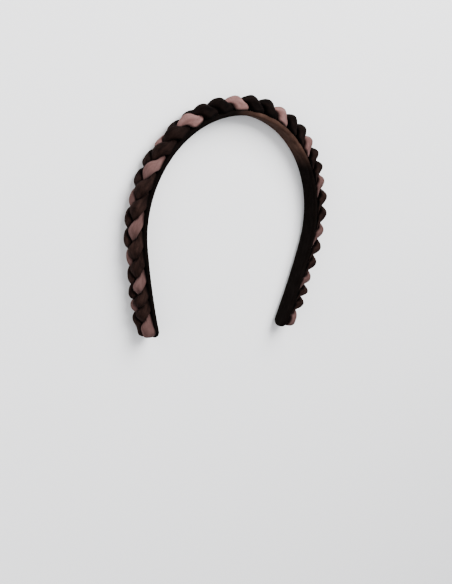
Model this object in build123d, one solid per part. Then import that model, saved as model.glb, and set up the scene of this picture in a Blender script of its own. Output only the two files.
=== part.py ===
from build123d import *
import math
import os

os.makedirs("parts", exist_ok=True)

# A braided headband, lying on its side. Millimetres.
# X points to the wearer's left, Y from the open ends towards the crown, Z towards the wearer's face.
# s is the length along the band's inner face, from the crown, growing towards the wearer's right.

CROWN_Y = 67.93           # inner face at the crown, above the middle of the headband
CROWN_RADIUS = 74.0
CROWN_ANGLE = math.radians(101.7)
LEG_RADIUS = 452.0
LEG_LENGTH = 63.3
HALF = CROWN_RADIUS * CROWN_ANGLE + LEG_LENGTH
BRAID_END = HALF - 2.3    # the braid stops short of the band's tip

BAND_WIDTH = 12.4
BAND_THICKNESS = 3.4
BAND_TIP_ROUND = 5.4
BAND_EDGE_ROUND = 1.4
BAND_MIDDLE_Z = 7.863

BRAID_HEIGHT = 9.6        # above the band's outer face
GAP = 0.8                 # between strands
UNDER_GAP = 0.3           # below them
SWING = 3.0               # sideways travel of a strand's middle
LEAD = math.radians(8)    # how far the sideways travel runs ahead of the rise
RISE = 1.7                # rise and fall of a strand's middle
MIDDLE = UNDER_GAP + (BRAID_HEIGHT - UNDER_GAP) / 2
HALF_BRAID = 5.5          # the roll is counted from the braid's middle out to here
HALF_WIDE = 4.35          # a strand's section, in the plane across the band
SWELL = 0.16
SWELL_AT = math.radians(40)
HALF_TALL = (BRAID_HEIGHT - UNDER_GAP) / 2 - RISE
FLATTER = 0.35
UNDERSIDE = 4.9           # below its middle a strand is fuller and squarer
UNDERSIDE_POWER = 2.7
CONTACT_SLANT = 1.4       # how far the faces between two strands lean over
CONTACT_SHIFT = 0.08
TIP_SWING = 4.0           # at the tips two strands lie side by side over the third
TIP_MIDDLE = 3.6
TIP_RISE = 1.2
TIP_HALF_WIDE = 3.9
FLAT_FROM = 185.0
FLAT_OVER = 7.0
CORNER = 5                # higher is sharper where a section meets its neighbours

SIDES = 7
FINENESS = 0.0525         # from ring to ring, in turns of the braid
END_STEPS = (0.0, 0.5, 1.2, 2.2, 3.4, 4.8, 6.4)

# Where the rose strand lies on top at the face side, one full turn of the braid apart.
PANELS = (190.5, 154.8, 118.6, 82.8, 46.0, 9.4, -24.5, -55.5, -88.0, -121.0, -155.0, -190.5)
PANEL_TURN = math.radians(60)

PROFILE = (
    # from crown, height share, width share, roll towards the face
    (0.0, 1.00, 1.00, 0.17),
    (50.0, 1.00, 1.00, 0.15),
    (90.0, 0.98, 1.00, 0.07),
    (125.0, 0.94, 0.98, 0.05),
    (150.0, 0.89, 0.97, 0.05),
    (168.0, 1.03, 0.97, 0.00),
    (177.0, 0.97, 0.95, 0.00),
    (188.0, 0.82, 0.95, 0.00),
    (196.0, 0.74, 0.93, 0.00),
)

STRANDS = (
    # name, fullness; each runs a third of a turn ahead of the one before
    ("strand_rose", 0.87),
    ("strand_brown_a", 1.04),
    ("strand_brown_b", 1.04),
)


def arch(s):
    """Point on the band's inner face and the direction outwards, both in X and Y."""
    side = -1.0 if s > 0 else 1.0
    crown = CROWN_RADIUS * CROWN_ANGLE
    if abs(s) <= crown:
        angle = abs(s) / CROWN_RADIUS
        x = CROWN_RADIUS * math.sin(angle)
        y = CROWN_RADIUS * (math.cos(angle) - 1)
    else:
        angle = CROWN_ANGLE + (abs(s) - crown) / LEG_RADIUS
        x = (CROWN_RADIUS - LEG_RADIUS) * math.sin(CROWN_ANGLE) + LEG_RADIUS * math.sin(angle)
        y = (CROWN_RADIUS - LEG_RADIUS) * math.cos(CROWN_ANGLE) + LEG_RADIUS * math.cos(angle)
        y -= CROWN_RADIUS
    return (side * x, CROWN_Y + y), (side * math.sin(angle), math.cos(angle))


def on_arch(s, out):
    """Point at s, a distance outwards from the inner face."""
    (x, y), (nx, ny) = arch(s)
    return (x + out * nx, y + out * ny)


def covered_band():
    """The flat band: two round-edged legs that run tangent from the crown's arc."""
    crown = CROWN_RADIUS * CROWN_ANGLE
    stops = (-HALF, -crown, crown, HALF)
    with BuildPart() as part:
        with BuildSketch(Plane.XY.offset(BAND_MIDDLE_Z - BAND_WIDTH / 2)):
            with BuildLine():
                for out in (0.0, BAND_THICKNESS):
                    for a, b in zip(stops, stops[1:]):
                        ThreePointArc(on_arch(a, out), on_arch((a + b) / 2, out), on_arch(b, out))
                for tip in (-HALF, HALF):
                    Line(on_arch(tip, 0.0), on_arch(tip, BAND_THICKNESS))
            make_face()
        extrude(amount=BAND_WIDTH)
        short = [e for e in part.edges() if abs(e.length - BAND_THICKNESS) < 0.01]
        fillet(short, BAND_TIP_ROUND)
        rims = [e for e in part.edges() if abs(e.length - BAND_THICKNESS) > 0.01]
        fillet(rims, BAND_EDGE_ROUND)
    return part.part.solid()


def turns(s):
    """Turns of the braid since the first panel: whole at each panel, smooth between, level beyond."""
    if s >= PANELS[0]:
        return 0.0
    if s <= PANELS[-1]:
        return float(len(PANELS) - 1)
    i = max(k for k in range(len(PANELS) - 1) if s <= PANELS[k])
    before, after = PANELS[i], PANELS[i + 1]
    u = (before - s) / (before - after)
    start = 0.0
    if i > 0:
        start = 2.0 * (before - after) / (PANELS[i - 1] - after)
    end = 0.0
    if i + 2 < len(PANELS):
        end = 2.0 * (before - after) / (before - PANELS[i + 2])
    return i + (u**3 - 2 * u**2 + u) * start + (3 * u**2 - 2 * u**3) + (u**3 - u**2) * end


def ease(u):
    """From 0 to 1 with level ends."""
    u = min(1.0, max(0.0, u))
    return u * u * (3 - 2 * u)


def middle(turn, flat):
    """Middle of a strand's section: sideways place and height above the band, an eight per turn."""
    side = (1 - flat) * SWING * math.sin(turn + LEAD) + flat * TIP_SWING * math.sin(turn)
    height = (1 - flat) * (MIDDLE + RISE * math.sin(2 * turn))
    height += flat * (TIP_MIDDLE + TIP_RISE * math.cos(turn))
    return side, height


def reach(turn, flat, full, others, angle):
    """Distance from a strand's middle to its skin, in one direction across the band."""
    across, up = math.cos(angle), math.sin(angle)
    side, height = middle(turn, flat)
    wide = (1 - flat) * HALF_WIDE * full * (1 + SWELL * math.cos(2 * (turn - SWELL_AT)))
    wide += flat * TIP_HALF_WIDE
    tip_tall = BRAID_HEIGHT - TIP_MIDDLE - TIP_RISE / 2
    tall = (1 - flat) * HALF_TALL * full * (1 - FLATTER * math.cos(2 * turn)) + flat * tip_tall
    if up < 0:
        power = UNDERSIDE_POWER
        total = (abs(across / wide) ** power + abs(up / UNDERSIDE) ** power) ** (CORNER / power)
        total += (-up / (height - UNDER_GAP)) ** CORNER
    else:
        total = math.hypot(across / wide, up / tall) ** CORNER
    for other_side, other_height, other_full in others:
        ds, dh = other_side - side, other_height - height
        size = math.hypot(ds, CONTACT_SLANT * dh)
        ns, nh = ds / size, CONTACT_SLANT * dh / size
        facing = across * ns + up * nh
        if facing > 1e-6:
            share = full / (full + other_full) + CONTACT_SHIFT * max(-1.0, min(1.0, -dh / (2 * RISE)))
            total += (facing / ((ds * ns + dh * nh) * share - GAP / 2)) ** CORNER
    return total ** (-1 / CORNER)


def profile(s):
    """Shares of the full width and height that are left at s, with rounded tips, and the roll there."""
    place = abs(s)
    row = max(k for k in range(len(PROFILE) - 1) if place >= PROFILE[k][0])
    here, after = PROFILE[row], PROFILE[row + 1]
    u = ease((place - here[0]) / (after[0] - here[0]))
    height, width, roll = [a + (b - a) * u for a, b in zip(here[1:], after[1:])]
    left = BRAID_END - place
    corner = math.sqrt(max(0.0, 1 - (1 - min(1.0, left / 6.0)) ** 2))
    end = math.sqrt(max(0.0, 1 - (1 - min(1.0, left / 3.0)) ** 2))
    return width * (0.6 + 0.4 * corner), height * (0.45 + 0.55 * end), roll


def ring(s, number):
    """One section of a strand, as corners in space."""
    flat = ease((abs(s) - FLAT_FROM) / FLAT_OVER)
    turn = PANEL_TURN + 2 * math.pi * (turns(s) + number / 3)
    side, height = middle(turn, flat)
    others = []
    for k in (1, 2):
        others.append((*middle(turn + 2 * math.pi * k / 3, flat), STRANDS[(number + k) % 3][1]))
    wide, tall, roll = profile(s)
    points = []
    for k in range(SIDES):
        angle = 2 * math.pi * (k + 0.5) / SIDES
        r = reach(turn, flat, STRANDS[number][1], others, angle)
        across = side + r * math.cos(angle)
        rolled = 1 + roll * across / HALF_BRAID
        out = BAND_THICKNESS + UNDER_GAP + (height + r * math.sin(angle) - UNDER_GAP) * tall * rolled
        x, y = on_arch(s, out)
        points.append(Vector(x, y, BAND_MIDDLE_Z + across * wide))
    return points


def strand(number):
    """A strand as a faceted solid through its rings, from one tip to the other."""
    places = [BRAID_END - d for d in END_STEPS[:-1]]
    s = BRAID_END - END_STEPS[-1]
    while s > END_STEPS[-1] - BRAID_END + 1.0:
        places.append(s)
        s -= FINENESS / (turns(s - 0.5) - turns(s + 0.5) + 1 / 120)
    places += [d - BRAID_END for d in reversed(END_STEPS)]
    rings = [ring(s, number) for s in places]
    faces = [Face(Wire.make_polygon(rings[0])), Face(Wire.make_polygon(rings[-1]))]
    for a, b in zip(rings, rings[1:]):
        heart = (sum(a, Vector()) + sum(b, Vector())) / (2 * SIDES)
        for k in range(SIDES):
            m = (k + 1) % SIDES
            # Each twisted cell folds along its inner diagonal, so that crossing strands stay clear.
            if ((a[k] + b[m]) / 2 - heart).length < ((a[m] + b[k]) / 2 - heart).length:
                cells = ([a[k], a[m], b[m]], [a[k], b[m], b[k]])
            else:
                cells = ([a[k], a[m], b[k]], [a[m], b[m], b[k]])
            faces += [Face(Wire.make_polygon(cell)) for cell in cells]
    return Solid(Shell(faces))


export_step(covered_band(), "parts/covered_band.step")
for number, (name, fullness) in enumerate(STRANDS):
    export_step(strand(number), f"parts/{name}.step")
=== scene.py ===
# %% [markdown]
# # A braided velvet headband
# This lesson dresses a headband: a hard, springy band covered in dark brown velvet, with a padded braid of
# three velvet strands laid along its outside, two dark brown and one dusty rose. It lies on its side.
# X points to the wearer's left, Y from the open ends towards the crown, and Z towards the wearer's face.
# The CAD model is loaded first. It is never changed: new pieces are fitted over it and stand in for it.

# %% The frame
import math
from types import SimpleNamespace
import bpy
import numpy as np
from mathutils import Matrix, Vector


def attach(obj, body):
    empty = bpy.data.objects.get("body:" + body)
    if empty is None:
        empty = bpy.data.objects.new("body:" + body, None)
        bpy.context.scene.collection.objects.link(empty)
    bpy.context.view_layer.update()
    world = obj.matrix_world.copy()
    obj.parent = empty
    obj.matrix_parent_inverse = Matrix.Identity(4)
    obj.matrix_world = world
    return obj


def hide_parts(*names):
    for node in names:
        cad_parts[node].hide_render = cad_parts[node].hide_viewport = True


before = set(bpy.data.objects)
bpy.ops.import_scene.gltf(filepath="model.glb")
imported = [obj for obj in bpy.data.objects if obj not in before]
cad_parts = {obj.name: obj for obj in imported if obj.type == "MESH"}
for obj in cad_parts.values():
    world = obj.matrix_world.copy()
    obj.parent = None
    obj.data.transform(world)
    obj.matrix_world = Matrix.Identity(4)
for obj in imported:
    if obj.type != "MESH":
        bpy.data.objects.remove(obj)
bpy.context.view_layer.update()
MM = 0.001

# %% [markdown]
# ## The camera
# The headband is seen from above its right leg, at the angle of the photograph. The camera looks at a point
# low in the arch, from a direction given by a turn about the upright axis and a height above the floor, and
# is rolled a little about its own line of sight. A long lens from 0.8 m keeps the far leg nearly as large as
# the near one.

# %% Camera
AIM = Vector((8.5, -56.35, 0.79)) * MM
TURN, HEIGHT, ROLL = math.radians(253.47), math.radians(47.88), math.radians(6.09)
DISTANCE, LENS = 0.8, 69.9


def camera_axes(turn, height, roll):
    """Right, up and back of a camera that looks at its aim from a direction, then rolls."""
    back = Vector((math.sin(turn) * math.cos(height), -math.cos(turn) * math.cos(height), math.sin(height)))
    right = Vector((0, 1, 0)).cross(back).normalized()
    up = back.cross(right)
    rolled_right = right * math.cos(roll) + up * math.sin(roll)
    return rolled_right, back.cross(rolled_right), back


axes = camera_axes(TURN, HEIGHT, ROLL)
bpy.ops.object.camera_add()
camera = bpy.context.object
camera.name = "camera"
camera.data.sensor_width = 36
camera.data.lens = LENS
camera.matrix_world = Matrix.Translation(AIM + axes[2] * DISTANCE) @ Matrix(axes).transposed().to_4x4()
bpy.context.scene.camera = camera
print("camera at", [round(c, 3) for c in camera.location])

# %% [markdown]
# ## The floor
# The floor is a pale sheet of matt paper, large enough to run past every edge of the view. It isn't part of
# the headband.

# %% Floor
bpy.ops.mesh.primitive_plane_add(size=8)
floor = bpy.context.object
floor.name = "floor"
paper = bpy.data.materials.new("pale floor")
paper.use_nodes = True
paper_shader = paper.node_tree.nodes["Principled BSDF"]
paper_shader.inputs["Base Color"].default_value = (0.87, 0.87, 0.88, 1)
paper_shader.inputs["Roughness"].default_value = 0.9
paper_shader.inputs["Specular IOR Level"].default_value = 0.1
floor.data.materials.append(paper)
print("floor in m:", [round(c, 1) for c in floor.dimensions])

# %% [markdown]
# ## The lights
# Velvet needs large, soft lights: a small one would put hard glints on the pile. The key light hangs beyond
# the crown, so the top of the arch is bright and the inner side of the near leg stays dark. A lamp at the
# near leg's side lifts the strands that face away from the key, and a faint one overhead and a pale room
# fill the rest.

# %% Lights
LIGHTS = (
    # name, place in m, size in m, power in W
    ("key", (0.28, 0.88, 0.90), 1.0, 54),
    ("overhead", (0.30, 0.00, 1.50), 1.2, 5),
    ("side", (-1.00, 0.15, 0.42), 1.0, 17),
)


def soft_light(name, place, size, power):
    """A square lamp turned towards the middle of the headband."""
    bpy.ops.object.light_add(type="AREA", location=place)
    lamp = bpy.context.object
    lamp.name = name
    lamp.data.size = size
    lamp.data.energy = power
    lamp.rotation_euler = (-Vector(place)).to_track_quat("-Z", "Y").to_euler()


for row in LIGHTS:
    soft_light(*row)
world = bpy.data.worlds.new("room")
world.use_nodes = True
world.node_tree.nodes["Background"].inputs["Color"].default_value = (0.93, 0.95, 1.0, 1)
world.node_tree.nodes["Background"].inputs["Strength"].default_value = 0.42
bpy.context.scene.world = world
print("lights:", [row[0] for row in LIGHTS])

# %% [markdown]
# ## Velvet
# Velvet is a dense pile of short upright fibres. Where it is brushed over it turns lighter or darker in soft
# patches, each tuft makes a fine grain, and at a grazing angle the fibre tips catch the light. Both velvets
# here show the same effects in their own colours, so the effects are built once, as a node group with named
# sockets. Two short helpers come first: one adds a node with its settings, the other does sums with sockets.

# %% Helpers for nodes
def add_node(tree, kind, **settings):
    """A node of one kind, with its settings."""
    node = tree.nodes.new(kind)
    for name, value in settings.items():
        setattr(node, name, value)
    return node


def feed(tree, node, **sources):
    """Gives sockets a plain value or a link, by name, with _ for a space."""
    for name, source in sources.items():
        target = node.inputs[name.replace("_", " ")]
        if isinstance(source, bpy.types.NodeSocket):
            tree.links.new(source, target)
        else:
            target.default_value = source


def sum_of(tree, operation, *sources, clamp=False):
    """The result socket of a math node, fed by sockets and plain numbers."""
    node = add_node(tree, "ShaderNodeMath", operation=operation, use_clamp=clamp)
    for target, source in zip(node.inputs, sources):
        if isinstance(source, bpy.types.NodeSocket):
            tree.links.new(source, target)
        else:
            target.default_value = source
    return node.outputs[0]


print("helpers for nodes:", [helper.__name__ for helper in (add_node, feed, sum_of)])

# %% [markdown]
# The group's sockets say what differs between materials. Vector is a place on the piece in millimetres, its
# X running along the piece from the crown. Lit and Deep are the colours of pile that stands up and pile that
# is brushed over. One more is a mask of painted shade, set where neighbours squeeze the cloth and where it
# lies down by the band. The last four paint light and shade into the colour along the piece, lighter or
# darker counted both ways from one place. They are set to match the photograph. Whether the lie of the pile
# or the light of the room makes that difference can't be told from it, so for another room both shades can
# be set to 1.

# %% The velvet group's sockets
velvet = bpy.data.node_groups.new("velvet pile", "ShaderNodeTree")
VELVET_INPUTS = (
    # name, kind, value before a material sets it
    ("Vector", "Vector", (0.0, 0.0, 0.0)),
    ("Lit", "Color", (0.4, 0.2, 0.2, 1.0)),
    ("Deep", "Color", (0.1, 0.05, 0.05, 1.0)),
    ("Patch size", "Float", 2.6),
    ("Tuft size", "Float", 0.45),
    ("Patch strength", "Float", 0.8),
    ("Tuft strength", "Float", 0.5),
    ("Crease", "Float", 0.0),
    ("Crown at", "Float", 0.0),
    ("Fade over", "Float", 90.0),
    ("Shade at crown", "Float", 1.0),
    ("Shade on legs", "Float", 1.0),
)
VELVET_OUTPUTS = (("Colour", "Color"), ("Roughness", "Float"), ("Height", "Float"))
for name, kind, value in VELVET_INPUTS:
    made = velvet.interface.new_socket(name=name, in_out="INPUT", socket_type="NodeSocket" + kind)
    made.default_value = value
for name, kind in VELVET_OUTPUTS:
    velvet.interface.new_socket(name=name, in_out="OUTPUT", socket_type="NodeSocket" + kind)
given = add_node(velvet, "NodeGroupInput").outputs
print("velvet sockets:", [s.name for s in velvet.interface.items_tree])

# %% [markdown]
# Patches and tufts are the same noise at two sizes. Both are drawn out along the piece, the patches more, as
# a hand smooths the pile that way. Each is stretched to its full range and weighed by its strength.

# %% Patches and tufts
def pile_pattern(size, strength, drawn_out, detail, rough):
    """Noise about 0 whose spots have one size across the strand and are longer along it."""
    longer = add_node(velvet, "ShaderNodeVectorMath", operation="MULTIPLY")
    velvet.links.new(given["Vector"], longer.inputs[0])
    longer.inputs[1].default_value = (drawn_out, 1.0, 1.0)
    noise = add_node(velvet, "ShaderNodeTexNoise", noise_dimensions="3D")
    scale = sum_of(velvet, "DIVIDE", 1.0, given[size])
    feed(velvet, noise, Vector=longer.outputs[0], Scale=scale, Detail=detail, Roughness=rough)
    spread = add_node(velvet, "ShaderNodeMapRange")
    feed(velvet, spread, Value=noise.outputs["Fac"], From_Min=0.3, From_Max=0.7)
    centred = sum_of(velvet, "SUBTRACT", spread.outputs["Result"], 0.5)
    return sum_of(velvet, "MULTIPLY", centred, given[strength])


patches = pile_pattern("Patch size", "Patch strength", 0.4, 2.0, 0.5)
tufts = pile_pattern("Tuft size", "Tuft strength", 0.75, 3.0, 0.65)
standing = sum_of(velvet, "ADD", sum_of(velvet, "ADD", patches, tufts), 0.5, clamp=True)
print("nodes in the velvet group so far:", len(velvet.nodes))

# %% [markdown]
# Where neighbours squeeze the cloth and where it lies down by the band, shade is painted in: the colour
# takes the deep one and is nearly black. The painted light and shade along the length is multiplied into
# the colour last, and pile that stands up is a little less rough than pile pressed shut.

# %% Creases, shade and outputs
LEVEL_OVER = 20.0
COLOUR_LEFT_IN_SHADE = 0.05
ROUGH_SHUT, ROUGH_STANDING = 0.95, 0.78
# Painted shade: the mask of squeezed and low places pulls the colour to the deep one and down to nearly
# black.
unshaded = sum_of(velvet, "SUBTRACT", 1.0, given["Crease"], clamp=True)
lit_share = sum_of(velvet, "MULTIPLY", standing, unshaded)
painted_crease_shade = sum_of(velvet, "MULTIPLY_ADD", unshaded, 1 - COLOUR_LEFT_IN_SHADE, COLOUR_LEFT_IN_SHADE)
# Painted light and shade along the length: a factor running from the crown's value to the legs' value, both
# ways from one place, multiplies the colour.
place = add_node(velvet, "ShaderNodeSeparateXYZ")
feed(velvet, place, Vector=given["Vector"])
from_crown = sum_of(velvet, "SUBTRACT", place.outputs["X"], given["Crown at"])
down_leg = add_node(velvet, "ShaderNodeMapRange", interpolation_type="SMOOTHSTEP")
fade_end = sum_of(velvet, "ADD", given["Fade over"], LEVEL_OVER)
feed(velvet, down_leg, Value=sum_of(velvet, "ABSOLUTE", from_crown), From_Min=LEVEL_OVER, From_Max=fade_end)
feed(velvet, down_leg, To_Min=given["Shade at crown"], To_Max=given["Shade on legs"])
painted_shade = sum_of(velvet, "MULTIPLY", down_leg.outputs["Result"], painted_crease_shade)
colour = add_node(velvet, "ShaderNodeMix", data_type="RGBA")
feed(velvet, colour, Factor=lit_share, A=given["Deep"], B=given["Lit"])
shaded = add_node(velvet, "ShaderNodeMix", data_type="RGBA", blend_type="MULTIPLY")
feed(velvet, shaded, Factor=1.0, A=colour.outputs["Result"], B=painted_shade)
matt = add_node(velvet, "ShaderNodeMapRange")
feed(velvet, matt, Value=lit_share, To_Min=ROUGH_SHUT, To_Max=ROUGH_STANDING)
result = add_node(velvet, "NodeGroupOutput")
feed(velvet, result, Colour=shaded.outputs["Result"], Roughness=matt.outputs["Result"], Height=tufts)
print("nodes in the velvet group:", len(velvet.nodes))

# %% [markdown]
# ## The two velvets and the band's cover
# The rose velvet is a greyed pink, the brown one nearly black where it turns away. The band's cover is taken
# to be the same brown velvet, pulled flat over a hard core. In the photograph it is a warmer, paler brown
# just past the crown, on the wearer's left, and nearly black elsewhere, and that light and shade are painted
# into its colour. The rose and brown strands get painted light and shade along their length as well. The
# sheen of the fibre tips is the same all over a material, so it is set on each material's own shader.

# %% Velvet materials
GLOSS, SHEEN_SPREAD = 0.03, 0.35
BUMP_STRENGTH, BUMP_HEIGHT = 0.5, 0.0002
VELVETS = (
    # name, record slot, lit colour, deep colour, sheen, sheen tint, painted shade: crown at, fade, crown,
    # legs
    ("rose velvet", "rose_velvet", (0.166, 0.091, 0.084), (0.103, 0.053, 0.048),
     0.032, (0.95, 0.82, 0.80), (0.0, 90.0, 1.0, 0.45)),
    ("brown velvet", "brown_velvet", (0.0125, 0.0060, 0.0047), (0.0018, 0.0009, 0.0008),
     0.013, (1.00, 0.66, 0.60), (0.0, 110.0, 0.3, 1.4)),
    # The cover's light is painted just past the crown, on the wearer's left, and its shade down the legs.
    ("brown cover", "brown_velvet", (0.0105, 0.0055, 0.0040), (0.0045, 0.0022, 0.0016),
     0.009, (0.90, 0.70, 0.60), (-32.0, 25.0, 4.4, 0.2)),
)


def velvet_material(name, lit, deep, sheen, tint, shade):
    """A velvet of its own colours, which follows the piece by its attribute of places."""
    material = bpy.data.materials.new(name)
    material.use_nodes = True
    tree = material.node_tree
    run = add_node(tree, "ShaderNodeAttribute", attribute_name="run")
    # The second attribute is the mask of painted shade, where strands are squeezed or lie low by the band.
    crease_shade = add_node(tree, "ShaderNodeAttribute", attribute_name="crease_shade")
    pile = add_node(tree, "ShaderNodeGroup", node_tree=velvet)
    feed(tree, pile, Vector=run.outputs["Vector"], Crease=crease_shade.outputs["Fac"])
    feed(tree, pile, Lit=(*lit, 1), Deep=(*deep, 1))
    for socket_name, value in zip(("Crown at", "Fade over", "Shade at crown", "Shade on legs"), shade):
        pile.inputs[socket_name].default_value = value
    bump = add_node(tree, "ShaderNodeBump")
    feed(tree, bump, Strength=BUMP_STRENGTH, Distance=BUMP_HEIGHT, Height=pile.outputs["Height"])
    shader = tree.nodes["Principled BSDF"]
    feed(tree, shader, Specular_IOR_Level=GLOSS)
    feed(tree, shader, Sheen_Weight=sheen, Sheen_Roughness=SHEEN_SPREAD, Sheen_Tint=(*tint, 1))
    feed(tree, shader, Base_Color=pile.outputs["Colour"], Roughness=pile.outputs["Roughness"])
    feed(tree, shader, Normal=bump.outputs["Normal"])
    return material


materials = {row[0]: (velvet_material(row[0], *row[2:]), row[1]) for row in VELVETS}
print("materials:", list(materials))

# %% [markdown]
# ## The arch
# Every piece follows one line: the inner face of the band. From the crown it is an arc of a circle, which
# runs over without a kink into a leg that is nearly straight. A place on it is given by s, the length from
# the crown, which grows towards the wearer's right.

# %% The arch's line
CROWN_Y, CROWN_RADIUS, CROWN_ANGLE = 67.93, 74.0, math.radians(101.7)
LEG_RADIUS, LEG_LENGTH = 452.0, 63.3
CROWN = CROWN_RADIUS * CROWN_ANGLE
HALF = CROWN + LEG_LENGTH
CROWN_CENTRE = CROWN_Y - CROWN_RADIUS
LEG_CENTRE = ((CROWN_RADIUS - LEG_RADIUS) * math.sin(CROWN_ANGLE),
              (CROWN_RADIUS - LEG_RADIUS) * math.cos(CROWN_ANGLE) + CROWN_CENTRE)


def arch(s):
    """Points on the inner face at s, and the directions outwards, as arrays of x and y."""
    far = np.abs(s)
    on_crown = far <= CROWN
    angle = np.where(on_crown, far / CROWN_RADIUS, CROWN_ANGLE + (far - CROWN) / LEG_RADIUS)
    x = np.where(on_crown, 0.0, LEG_CENTRE[0]) + np.where(on_crown, CROWN_RADIUS, LEG_RADIUS) * np.sin(angle)
    y = np.where(on_crown, CROWN_CENTRE, LEG_CENTRE[1])
    y = y + np.where(on_crown, CROWN_RADIUS, LEG_RADIUS) * np.cos(angle)
    side = np.where(s > 0, -1.0, 1.0)
    return np.stack([side * x, y], -1), np.stack([side * np.sin(angle), np.cos(angle)], -1)


print("inner length in mm:", round(2 * HALF, 1))

# %% [markdown]
# ## How the braid runs
# Seen from one end, the middle of each strand draws a figure of eight lying down: out to one side over the
# top, back to the middle underneath, out to the other side over the top, and back underneath. The three
# strands follow each other a third of a turn apart. The braid isn't even: a short table says where the
# rose strand comes out on top at the face side, once a turn, and the turns between are smooth.

# %% Turns of the braid
PANELS = (190.5, 154.8, 118.6, 82.8, 46.8, 10.8, -27.2, -58.5, -88.0, -121.0, -155.0, -190.5)


def turns(s):
    """Turns of the braid since the first panel: whole at each panel, smooth between, level past the ends."""
    if s >= PANELS[0]:
        return 0.0
    if s <= PANELS[-1]:
        return float(len(PANELS) - 1)
    i = max(k for k in range(len(PANELS) - 1) if s <= PANELS[k])
    before, after = PANELS[i], PANELS[i + 1]
    u = (before - s) / (before - after)
    start = 2.0 * (before - after) / (PANELS[i - 1] - after) if i > 0 else 0.0
    end = 2.0 * (before - after) / (before - PANELS[i + 2]) if i + 2 < len(PANELS) else 0.0
    return i + (u**3 - 2 * u**2 + u) * start + (3 * u**2 - 2 * u**3) + (u**3 - u**2) * end


def ease(u):
    """From 0 to 1 with level ends."""
    u = min(1.0, max(0.0, u))
    return u * u * (3 - 2 * u)


def rounded(u):
    """From 0 to 1 along a quarter of a circle."""
    return math.sqrt(1 - (1 - min(1.0, max(0.0, u))) ** 2)


print("turns of the braid:", turns(-HALF))

# %% [markdown]
# ## The braid's profile
# The braid is tallest near the crown and gets flatter down the legs, swells once more above the tips, and
# over the crown it rolls towards the face. The last millimetres are rounded off in plan and in height, so
# that each strand closes in a blunt, soft end. At the tips the strands stop crossing and end side by side.
# One function gathers all that a section depends on at a place.

# %% Profile along the braid
BRAID_END = HALF - 2.3
PANEL_TURN = math.radians(60)
FLAT_FROM, FLAT_OVER = 180.0, 10.0
END_WIDTH, END_HEIGHT = 0.45, 0.22
ROUND_WIDE, ROUND_TALL = 6.0, 3.0
PROFILE = (
    # from crown, height share, width share, roll towards the face, turn where widest, lead, rise
    (0.0, 0.94, 0.94, 0.17, 72, -14, 1.20),
    (50.0, 1.02, 1.00, 0.15, 72, -6, 1.30),
    (90.0, 0.98, 1.00, 0.07, 40, 14, 1.70),
    (125.0, 0.94, 0.98, 0.05, 38, 14, 1.70),
    (150.0, 0.89, 0.97, 0.05, 38, 14, 1.70),
    (168.0, 1.03, 0.97, 0.00, 38, 14, 1.70),
    (177.0, 0.97, 0.95, 0.00, 40, 14, 1.70),
    (188.0, 0.82, 0.95, 0.00, 45, 14, 1.70),
    (196.0, 0.74, 0.93, 0.00, 45, 14, 1.70),
)


def station(s, index):
    """All that the section of one strand depends on at s."""
    row = max(k for k in range(len(PROFILE) - 1) if abs(s) >= PROFILE[k][0])
    here, after = np.array(PROFILE[row]), np.array(PROFILE[row + 1])
    share = ease((abs(s) - here[0]) / (after[0] - here[0]))
    _, tall, wide, roll, widest, lead, rise = here + (after - here) * share
    left = BRAID_END - abs(s)
    at = SimpleNamespace(place=s, roll=roll, rise=rise, widest=math.radians(widest), lead=math.radians(lead))
    at.wide = wide * (END_WIDTH + (1 - END_WIDTH) * rounded(left / ROUND_WIDE))
    at.tall = tall * (END_HEIGHT + (1 - END_HEIGHT) * rounded(left / ROUND_TALL))
    at.flat = ease((abs(s) - FLAT_FROM) / FLAT_OVER)
    at.turn = PANEL_TURN + 2 * math.pi * (turns(s) + index / 3)
    return at


print("height share at the crown and the tip:", station(0.0, 0).tall, round(station(BRAID_END, 0).tall, 2))

# %% [markdown]
# ## Where a strand's middle runs
# The middle swings from side to side and rises and falls twice a turn. On the far side it rises less, so the
# outline there is calm. At the tips it settles into a place of its own beside the other two.

# %% Middle of a strand
BRAID_HEIGHT, UNDER_GAP = 9.6, -0.6
MIDDLE = UNDER_GAP + (BRAID_HEIGHT - UNDER_GAP) / 2
SWING, FAR_FLATTER = 2.75, 0.55
TIP_SWING, TIP_LEAD = 4.0, math.radians(50)
TIP_MIDDLE, TIP_RISE, TIP_RISE_AT = 3.6, 1.2, math.radians(120)


def rise_of(turn, at):
    """Rise and fall of a strand's middle, which is less on the far side."""
    return at.rise * (1 - FAR_FLATTER * (1 - math.sin(turn + at.lead)) / 2)


def middle(turn, at):
    """Middle of a strand's section: sideways place and height above the band."""
    side = (1 - at.flat) * SWING * math.sin(turn + at.lead) + at.flat * TIP_SWING * math.sin(turn + TIP_LEAD)
    height = (1 - at.flat) * (MIDDLE + rise_of(turn, at) * math.sin(2 * turn))
    height += at.flat * (TIP_MIDDLE + TIP_RISE * math.cos(turn - TIP_RISE_AT))
    return side, height


at_crown = station(0.0, 0)
print("rose strand's middle at the crown in mm:", [round(c, 2) for c in middle(at_crown.turn, at_crown)])

# %% [markdown]
# ## A strand's section
# A strand is a soft tube that its neighbours squeeze. Cut across the band, it starts as an oval above its
# middle and as a fuller, squarer shape below, where it spreads over the band. Then the band's face and the
# two other strands press flats into it, with rounded corners between. Two strands share the same flat, so
# at this stage their sections don't cut into each other, whatever their turn.

# %% A lone strand
HALF_WIDE, SWELL, FLATTER = 3.95, 0.26, 0.35
FAR_WIDER, FAR_CALMER, FAR_FILL = 0.19, 0.80, 0.50
LOW_WIDER, UNDERSIDE_POWER = 0.45, 5.0
TIP_HALF_WIDE = 3.9
CORNER = 6


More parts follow.
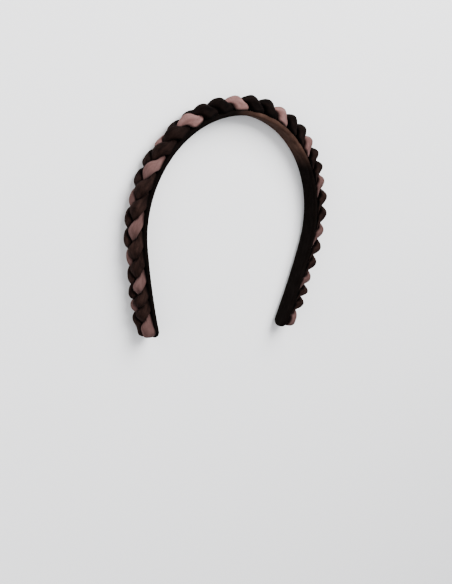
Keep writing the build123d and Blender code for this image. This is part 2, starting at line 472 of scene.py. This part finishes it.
def lone_section(at, full, low, angles):
    """How tightly a strand is held in each direction by its own cloth: its reach to the power of -CORNER."""
    across, rise = np.cos(angles), np.sin(angles)
    near = math.sin(at.turn + at.lead)
    far = (1 - near) / 2
    beyond = min(1.0, max(0.0, 0.5 - 1.5 * near))
    swell = (1 + FAR_WIDER * far) * (1 + SWELL * (1 - FAR_CALMER * far) * math.cos(2 * (at.turn - at.widest)))
    wide = (1 - at.flat) * HALF_WIDE * full * swell + at.flat * TIP_HALF_WIDE
    tall = (BRAID_HEIGHT - UNDER_GAP) / 2 - rise_of(at.turn, at)
    tall *= (1 - at.flat) * full * (1 - FLATTER * (1 - beyond) * math.cos(2 * at.turn))
    tall += at.flat * (BRAID_HEIGHT - TIP_MIDDLE - TIP_RISE / 2)
    below = LOW_WIDER * np.clip(-2 * rise, 0, 1)
    outside = FAR_FILL * beyond * np.clip(-1.5 * across, 0, 1)
    wide = wide * (1 + (1 - at.flat) * (1 - abs(near)) * np.maximum(below, outside))
    over = np.hypot(across / wide, rise / tall)
    under = np.abs(across / wide) ** UNDERSIDE_POWER + np.abs(rise / low) ** UNDERSIDE_POWER
    return np.where(rise < 0, under ** (1 / UNDERSIDE_POWER), over) ** CORNER


upwards = lone_section(at_crown, 1.0, 5.0, np.array((math.pi / 2,)))
print("a lone strand's height above its middle at the crown in mm:", (upwards ** (-1 / CORNER)).round(2))

# %% [markdown]
# The flat between two strands stands upright to the line between their middles, leaned over so that the
# upper strand lies on the lower one. How deep a flat goes is kept as the strand's pressed share.

# %% A strand among its neighbours
CONTACT_SLANT, CONTACT_SHIFT = 2.2, 0.08


def flats(at, full, others_full):
    """The flats that both neighbours press into a strand: direction across and up, and distance."""
    side, height = middle(at.turn, at)
    found = []
    for third, other_full in zip((1, 2), others_full):
        other = middle(at.turn + 2 * math.pi * third / 3, at)
        ds, dh = other[0] - side, other[1] - height
        size = math.hypot(ds, CONTACT_SLANT * dh)
        ns, nh = ds / size, CONTACT_SLANT * dh / size
        share = full / (full + other_full) + CONTACT_SHIFT * max(-1.0, min(1.0, -dh / (2 * at.rise)))
        found.append((ns, nh, (ds * ns + dh * nh) * share))
    return found


def pressed_section(at, full, pressing, low, angles):
    """Distances from a strand's middle to its skin, given its flats, and the share that is pressed in."""
    across, rise = np.cos(angles), np.sin(angles)
    height = middle(at.turn, at)[1]
    tight = lone_section(at, full, low, angles)
    free = tight ** (-1 / CORNER)
    tight = tight + (np.maximum(-rise, 0) / (height - UNDER_GAP)) ** CORNER
    for ns, nh, distance in pressing:
        facing = np.maximum(across * ns + rise * nh, 0)
        tight = tight + (facing / distance) ** CORNER
    reach = tight ** (-1 / CORNER)
    return reach, 1 - reach / free


both = flats(at_crown, 1.0, (1.0, 1.0))
shown = pressed_section(at_crown, 1.0, both, 5.0, np.radians((0, 90, 180)))[0]
print("pressed at the crown, it reaches to the face, outwards and to the back in mm:", shown.round(2))

# %% [markdown]
# ## Rolling a ribbon of cloth into a strand
# A strand like this can be sewn from a strip of velvet, as a tube over a soft filling. It is made that way
# here: a flat grid, with one row of cells for each step along the braid, is rolled up so that its two long
# edges meet at the band's face, out of sight. Its ends are closed and its faces turned outwards. A cloth
# simulation could puff it up instead, but then each petal would settle where the simulation puts it.

# %% Helpers for rolled cloth
SIDES, STEP = 72, 0.55
END_STEPS = np.array((0.0, 0.01, 0.04, 0.1, 0.18, 0.28, 0.4))


def flat_ribbon(name, steps, around):
    """A grid of steps by sides, and the row and column of each of its vertices."""
    bpy.ops.object.select_all(action="DESELECT")
    bpy.ops.mesh.primitive_grid_add(x_subdivisions=steps, y_subdivisions=around, size=1, calc_uvs=False)
    piece = bpy.context.object
    piece.name = name
    piece.data.name = name
    places = np.empty(len(piece.data.vertices) * 3)
    piece.data.vertices.foreach_get("co", places)
    places = places.reshape(-1, 3) + 0.5
    row = np.rint(places[:, 0] * steps).astype(int)
    column = np.rint(places[:, 1] * around).astype(int) % around
    return piece, row, column


def close_tube(piece):
    """Joins the long edges, closes both ends and turns the faces outwards."""
    bpy.ops.object.mode_set(mode="EDIT")
    bpy.ops.mesh.select_all(action="SELECT")
    bpy.ops.mesh.remove_doubles(threshold=1e-8)
    bpy.ops.mesh.select_all(action="DESELECT")
    bpy.ops.mesh.select_non_manifold()
    bpy.ops.mesh.edge_face_add()
    bpy.ops.mesh.select_all(action="SELECT")
    bpy.ops.mesh.normals_make_consistent(inside=False)
    bpy.ops.object.mode_set(mode="OBJECT")
    bpy.ops.object.shade_smooth()


print("cells in a strand's ribbon:", SIDES, "round it and about", round(2 * BRAID_END / STEP), "along it")

# %% [markdown]
# ## Softness
# Hard flats would look like carved wood. The skin is blurred along the strand and round it, as the filling
# rounds off every press, and shallow lengthwise folds come and go, deeper where the strand is squeezed. The
# girth wanders a little as well, so no two turns of the braid are alike.

# %% Helpers for softness
FOLD, FOLD_COUNTS = 0.13, (4, 6, 7, 9, 11)
FOLD_SWAY, SWAY_SLOW, DEPTH_SLOW = 2.6, 43, 19


def softened(values, along, around):
    """Values on the grid, blurred by a number of steps along the strand and round it."""
    for axis, spread, mode in ((0, along, "edge"), (1, around, "wrap")):
        reach_out = int(3 * spread) + 1
        weights = np.exp(-0.5 * (np.arange(-reach_out, reach_out + 1) / spread) ** 2)
        padding = [(0, 0), (0, 0)]
        padding[axis] = (reach_out, reach_out)
        padded = np.pad(values, padding, mode=mode)
        values = np.apply_along_axis(np.convolve, axis, padded, weights / weights.sum(), "valid")
    return values


def uneven(s, seed, slow):
    """A smooth wander between about -1 and 1 along the strand."""
    rng = np.random.default_rng(seed)
    total = np.zeros_like(s)
    for octave in range(3):
        total += np.sin(s / slow * 2 * math.pi * 1.7**octave + rng.uniform(0, 6.28)) / (1 + octave)
    return total / 1.8


def folds(s, angles, seed):
    """Shallow lengthwise folds round a strand, in mm, which come and go along it."""
    total = np.zeros((len(s), len(angles)))
    for k, number in enumerate(FOLD_COUNTS):
        shift = FOLD_SWAY * uneven(s, seed + k, SWAY_SLOW)[:, None]
        strength = 0.5 + 0.5 * uneven(s, seed + 20 + k, DEPTH_SLOW)[:, None]
        total += FOLD * strength * np.sin(number * angles + shift) / math.sqrt(1 + k)
    return total


shown = folds(np.linspace(0.0, 100.0, 50), np.linspace(0.0, 6.28, 50), 3)
print("folds in mm, from and to:", shown.min().round(2), shown.max().round(2))

# %% [markdown]
# ## From section to skin
# The softening and the folds push the skin a little into what it lies against, so each point is set back
# before it is bent round the arch: off the band, whose rims are rounded, and behind the flats that the strand
# shares with its neighbours. What would sink into the floor is pressed flat against it. The rose strand is
# thinner than the brown ones, most of all over the crown.

# %% From section to skin
BAND_THICKNESS, BAND_WIDTH, BAND_EDGE, BAND_MIDDLE_Z = 3.4, 12.4, 1.4, 7.863
CLEAR = 0.08
HALF_BRAID = 5.5
BROWN_FULL, ROSE_FULL = 1.04, 0.87
ROSE_PULLED_IN, ROSE_TAIL, ROSE_TAIL_AT = 0.16, 0.18, math.radians(105)
ROSE_THINNER = 0.09
THINNER_TO, THINNER_OVER = 60, 30
SHAPED_TO, SHAPED_OVER = 75, 25


def fullness(at, number, ahead):
    """How full a strand is: over the crown the rose one thins at the back and swells where it dives."""
    if number > 0:
        return BROWN_FULL
    turn = at.turn + 2 * math.pi * ahead / 3
    back, dive = max(0.0, -math.sin(turn)), max(0.0, math.cos(turn - ROSE_TAIL_AT))
    full = ROSE_FULL - ROSE_THINNER * ease((THINNER_TO - abs(at.place)) / THINNER_OVER)
    shaped = ease((SHAPED_TO - abs(at.place)) / SHAPED_OVER)
    return full + (ROSE_TAIL * dive - ROSE_PULLED_IN * back) * shaped


def band_surface(up):
    """How far the band's outer side stands out from its inner face at a height, or 0 past its rims."""
    past = np.maximum(np.abs(up - BAND_MIDDLE_Z) - (BAND_WIDTH / 2 - BAND_EDGE), 0)
    rounding = np.sqrt(np.maximum(BAND_EDGE**2 - past**2, 0))
    return np.where(past < BAND_EDGE + CLEAR, BAND_THICKNESS - BAND_EDGE + rounding, 0.0)


def skin(at, reach, angles, pressing):
    """A section's points in mm, set clear, and how far each stands out from the band's inner face."""
    side, height = middle(at.turn, at)
    across, rise = reach * np.cos(angles), reach * np.sin(angles)
    grown = at.tall * (1 + at.roll * (side + across) / HALF_BRAID)
    seat = band_surface(BAND_MIDDLE_Z + (side + across) * at.wide) + CLEAR
    rise = np.maximum(rise, (seat - BAND_THICKNESS) / grown - height)
    for ns, nh, distance in pressing:
        back = np.maximum((across * ns + rise * nh) / (distance - CLEAR / 2), 1)
        across, rise = across / back, rise / back
    grown = at.tall * (1 + at.roll * (side + across) / HALF_BRAID)
    out = BAND_THICKNESS + (height + rise) * grown
    foot, outwards = arch(at.place)
    up = np.maximum(BAND_MIDDLE_Z + (side + across) * at.wide, 0.0)
    return np.column_stack([foot + out[:, None] * outwards, up]), out


print("fullness of the rose strand at the crown:", round(fullness(at_crown, 0, 0), 2))

# %% [markdown]
# ## A strand
# The section is worked out at every step along the braid, softened, folded and laid on the band. Two
# attributes go with the mesh: run, the place on the unbent strand in millimetres, for the pile, and a mask
# of painted shade, set where each point is pressed by its neighbours or lies down by the band.

# %% A strand from tip to tip
GIRTH_RADIUS, GIRTH_WANDER, GIRTH_SLOW = 4.3, 0.02, 31
SOFT_ALONG, SOFT_AROUND = 1.4, 6.0
# Painted shade: PRESS_FROM and PRESS_OVER turn the pressed share into the mask of painted shade, which also
# deepens the folds, and DARK_UNDER and DARK_OVER paint shade where a point lies low by the band.
PRESS_FROM, PRESS_OVER = 0.03, 0.14
DARK_UNDER, DARK_OVER = 1.8, 1.4


def note(piece, name, kind, field, values):
    """Gives each point of a piece a value of its own for the materials."""
    piece.data.attributes.new(name, kind, "POINT").data.foreach_set(field, values.ravel())


def strand(name, index, low, seed):
    """One padded strand from tip to tip."""
    inner = np.linspace(BRAID_END - STEP, STEP - BRAID_END, math.ceil(2 * BRAID_END / STEP) - 1)
    s = np.concatenate([BRAID_END - END_STEPS, inner, (END_STEPS - BRAID_END)[::-1]])
    angles = 2 * math.pi * np.arange(SIDES) / SIDES - math.pi / 2
    stations = [station(place, index) for place in s]
    reach, press_and_shade = np.empty((2, len(s), SIDES))
    pressing = []
    points = np.empty((len(s), SIDES, 3))
    for i, at in enumerate(stations):
        full = [fullness(at, (index + k) % 3, k) for k in range(3)]
        pressing.append(flats(at, full[0], full[1:]))
        reach[i], press_and_shade[i] = pressed_section(at, full[0], pressing[i], low, angles)
    around = SOFT_AROUND * SIDES / 360
    press_and_shade = softened(np.clip((press_and_shade - PRESS_FROM) / PRESS_OVER, 0, 1), SOFT_ALONG / STEP / 2, around)
    reach = softened(reach, SOFT_ALONG / STEP, around)
    reach += folds(s, angles, seed) * (0.4 + press_and_shade.mean(axis=1, keepdims=True))
    reach *= 1 + GIRTH_WANDER * uneven(s, seed, GIRTH_SLOW)[:, None]
    for i, at in enumerate(stations):
        points[i], out = skin(at, reach[i], angles, pressing[i])
        # Points that lie low by the band are added to the mask of painted shade.
        press_and_shade[i] = np.clip(np.maximum(press_and_shade[i], (BAND_THICKNESS + DARK_UNDER - out) / DARK_OVER), 0, 1)
    piece, row, column = flat_ribbon(name, len(s) - 1, SIDES)
    piece.data.vertices.foreach_set("co", (points[row, column] * MM).ravel())
    run = np.stack([s[row], GIRTH_RADIUS * np.cos(angles[column]), GIRTH_RADIUS * np.sin(angles[column])], -1)
    note(piece, "run", "FLOAT_VECTOR", "vector", run)
    note(piece, "crease_shade", "FLOAT", "value", press_and_shade[row, column])
    close_tube(piece)
    return piece


print("girth that the pile counts with, in mm:", round(2 * math.pi * GIRTH_RADIUS, 1))

# %% [markdown]
# ## The three strands
# All three come from the same function. Only their turn, their velvet, the depth of their underside and the
# seed of their unevenness differ. Each stands in for its CAD solid.

# %% Strands
STRANDS = (
    # name, velvet, depth of the underside in mm, seed
    ("strand_rose", "rose velvet", 6.2, 3),
    ("strand_brown_a", "brown velvet", 7.2, 5),
    ("strand_brown_b", "brown velvet", 7.2, 8),
)


def finish_piece(piece, material, node):
    """Gives a piece its velvet and its place in the frame."""
    piece.data.materials.clear()
    piece.data.materials.append(materials[material][0])
    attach(piece, "root")
    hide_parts(node)
    triangles = sum(len(p.vertices) - 2 for p in piece.data.polygons)
    print(piece.name, "has", triangles, "triangles")


for index, (name, velvet_name, low, seed) in enumerate(STRANDS):
    piece = strand(name + "_velvet", index, low, seed)
    finish_piece(piece, velvet_name, name)

# %% [markdown]
# ## The covered band
# The band is a flat strip of one width that follows the arch. It is made as a maker bends one: a short plane
# is laid at the right tip, its inner edge is spun along the leg, round the crown and down the other leg, and
# the last few millimetres are extruded straight. Then the four corners of the tips are rounded.

# %% Helpers for the strip
def along(s):
    """Where the inner face runs at s, and which way it goes as s grows."""
    foot, outwards = arch(s)
    return Vector((*foot, BAND_MIDDLE_Z)) * MM, Vector((-outwards[1], outwards[0], 0.0))


def select_places(piece, wanted):
    """Selects the vertices that a test of their place lets through, and goes into edit mode."""
    bpy.ops.object.mode_set(mode="EDIT")
    bpy.ops.mesh.select_mode(type="VERT")
    bpy.ops.mesh.select_all(action="DESELECT")
    bpy.ops.object.mode_set(mode="OBJECT")
    for vertex in piece.data.vertices:
        vertex.select = wanted(vertex.co)
    bpy.ops.object.mode_set(mode="EDIT")


def spin_edge(steps, angle, x, y):
    """Spins the selected edge about an upright axis, towards the left leg."""
    bpy.ops.mesh.spin(steps=steps, angle=angle, center=(x * MM, y * MM, 0), axis=(0, 0, 1))


print("at the right tip the leg runs towards", [round(c, 2) for c in along(HALF)[1]])

# %% [markdown]
# Only the edge that is spun last stays selected, so each spin starts where the one before it ended. After
# a spin the whole strip keeps one width, as every point turns about the same axis.

# %% The strip
BAND_TIP, BAND_TIP_ROUND, TIP_SEGMENTS = 6.0, 5.4, 10
LEG_STEPS, CROWN_STEPS = 30, 220
PICK_WITHIN = 0.2
LEG_TURN = (LEG_LENGTH - BAND_TIP) / LEG_RADIUS
foot, onwards = along(HALF - BAND_TIP)
heading = (math.pi / 2, 0, math.atan2(onwards.y, onwards.x))
bpy.ops.object.select_all(action="DESELECT")
bpy.ops.mesh.primitive_plane_add(size=MM, location=foot + onwards * BAND_TIP / 2 * MM, rotation=heading)
band = bpy.context.object
band.name = "covered_band_velvet"
band.data.name = "covered_band_velvet"
band.scale = (BAND_TIP, BAND_WIDTH, 1)
bpy.ops.object.transform_apply(location=True, rotation=True, scale=True)
select_places(band, lambda place: (place - foot).dot(onwards) < 0.1 * MM)
spin_edge(LEG_STEPS, LEG_TURN, -LEG_CENTRE[0], LEG_CENTRE[1])
spin_edge(CROWN_STEPS, 2 * CROWN_ANGLE, 0.0, CROWN_CENTRE)
spin_edge(LEG_STEPS, LEG_TURN, LEG_CENTRE[0], LEG_CENTRE[1])
end, backwards = along(BAND_TIP - HALF)
bpy.ops.mesh.extrude_region_move(TRANSFORM_OT_translate={"value": -backwards * BAND_TIP * MM})
tips = [along(HALF)[0], end - backwards * BAND_TIP * MM]
corner_within = (BAND_WIDTH / 2 + PICK_WITHIN) * MM
select_places(band, lambda place: min((place - tip).length for tip in tips) < corner_within)
bpy.ops.mesh.bevel(offset=BAND_TIP_ROUND * MM, segments=TIP_SEGMENTS, affect="VERTICES")
bpy.ops.object.mode_set(mode="OBJECT")
print("strip box in mm:", [round(1000 * c, 1) for c in band.dimensions])

# %% [markdown]
# The strip gets its thickness outwards from the head by a Solidify modifier, and a Bevel modifier rounds its
# rims. Both are applied. Then each point notes its place along and across the band for the pile to follow.

# %% Thickness and rims
RIM_SEGMENTS, RIM_ANGLE = 6, math.radians(50)


def along_the_band(x, y):
    """s and the distance outwards from the inner face, for points in mm: the arch read backwards."""
    side = np.where(x > 0, -1.0, 1.0)
    angle = np.arctan2(np.abs(x), y - CROWN_CENTRE)
    leg_angle = np.arctan2(np.abs(x) - LEG_CENTRE[0], y - LEG_CENTRE[1])
    on_crown = angle <= CROWN_ANGLE
    s = np.where(on_crown, CROWN_RADIUS * angle, CROWN + LEG_RADIUS * (leg_angle - CROWN_ANGLE))
    out_crown = np.hypot(x, y - CROWN_CENTRE) - CROWN_RADIUS
    out_leg = np.hypot(np.abs(x) - LEG_CENTRE[0], y - LEG_CENTRE[1]) - LEG_RADIUS
    return side * s, np.where(on_crown, out_crown, out_leg)


solid = band.modifiers.new("thickness", "SOLIDIFY")
solid.thickness = BAND_THICKNESS * MM
solid.offset = 1.0
rims = band.modifiers.new("rims", "BEVEL")
rims.width = BAND_EDGE * MM
rims.segments = RIM_SEGMENTS
rims.limit_method = "ANGLE"
rims.angle_limit = RIM_ANGLE
for modifier in (solid, rims):
    bpy.ops.object.modifier_apply(modifier=modifier.name)
bpy.ops.object.mode_set(mode="EDIT")
bpy.ops.mesh.select_all(action="SELECT")
bpy.ops.mesh.normals_make_consistent(inside=False)
bpy.ops.object.mode_set(mode="OBJECT")
bpy.ops.object.shade_smooth()
places = np.empty(len(band.data.vertices) * 3)
band.data.vertices.foreach_get("co", places)
places = places.reshape(-1, 3) / MM
s, out = along_the_band(places[:, 0], places[:, 1])
note(band, "run", "FLOAT_VECTOR", "vector", np.stack([s, places[:, 2], out], -1))
print("from tip to tip in mm:", round(s.max() - s.min(), 1), "and thick:", round(out.max() - out.min(), 2))
finish_piece(band, "brown cover", "covered_band")
